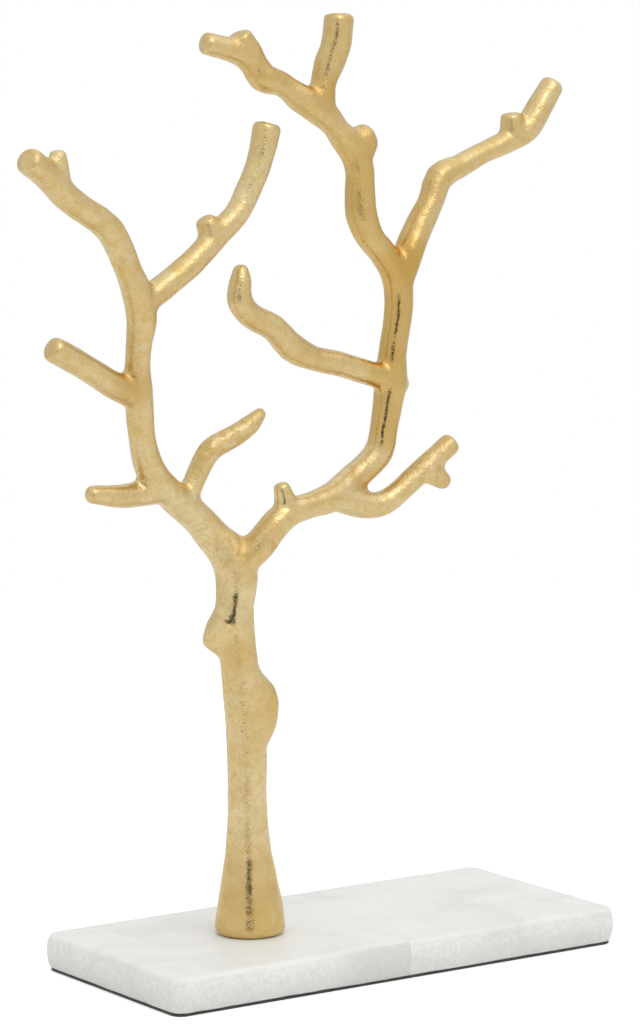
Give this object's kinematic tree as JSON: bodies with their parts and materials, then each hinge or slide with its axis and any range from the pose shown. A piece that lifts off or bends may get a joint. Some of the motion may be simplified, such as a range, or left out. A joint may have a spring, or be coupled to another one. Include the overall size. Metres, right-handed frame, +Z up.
{
  "type": "jewelry tree",
  "caption": "Free-standing jewelry tree: a gold-finished cast trunk with crooked bare branches to hang bracelets and necklaces on, bolted to a rectangular white marble slab.",
  "frame": {"origin": "centre of the pad's underside, where the stand rests on a table", "axes": "+Z up, the longest extent; +X along the slab's long side, away from the tree; +Y towards the back, the shortest extent"},
  "size_m": [0.2903, 0.107, 0.4091],
  "materials": {
    "gold_casting": "satin gold-tone plating over a fine sand-cast surface",
    "white_marble": "honed, white with faint grey clouds",
    "dark_pad": "dark felt",
    "zinc_steel": "zinc plated"
  },
  "bodies": {
    "root": {"trunk": "gold_casting", "left_limb": "gold_casting", "left_crook": "gold_casting", "left_prong": "gold_casting", "left_side_twig": "gold_casting", "left_low_twig": "gold_casting", "left_inner_twig": "gold_casting", "right_limb": "gold_casting", "right_low_branch": "gold_casting", "right_riser": "gold_casting", "right_inner_branch": "gold_casting", "right_high_branch": "gold_casting", "crown_limb": "gold_casting", "crown_branch": "gold_casting", "crown_prong": "gold_casting", "marble_slab": "white_marble", "base_pad": "dark_pad", "fixing_bolt": "zinc_steel", "lock_washer": "zinc_steel", "flat_washer": "zinc_steel"}
  },
  "joints": []
}
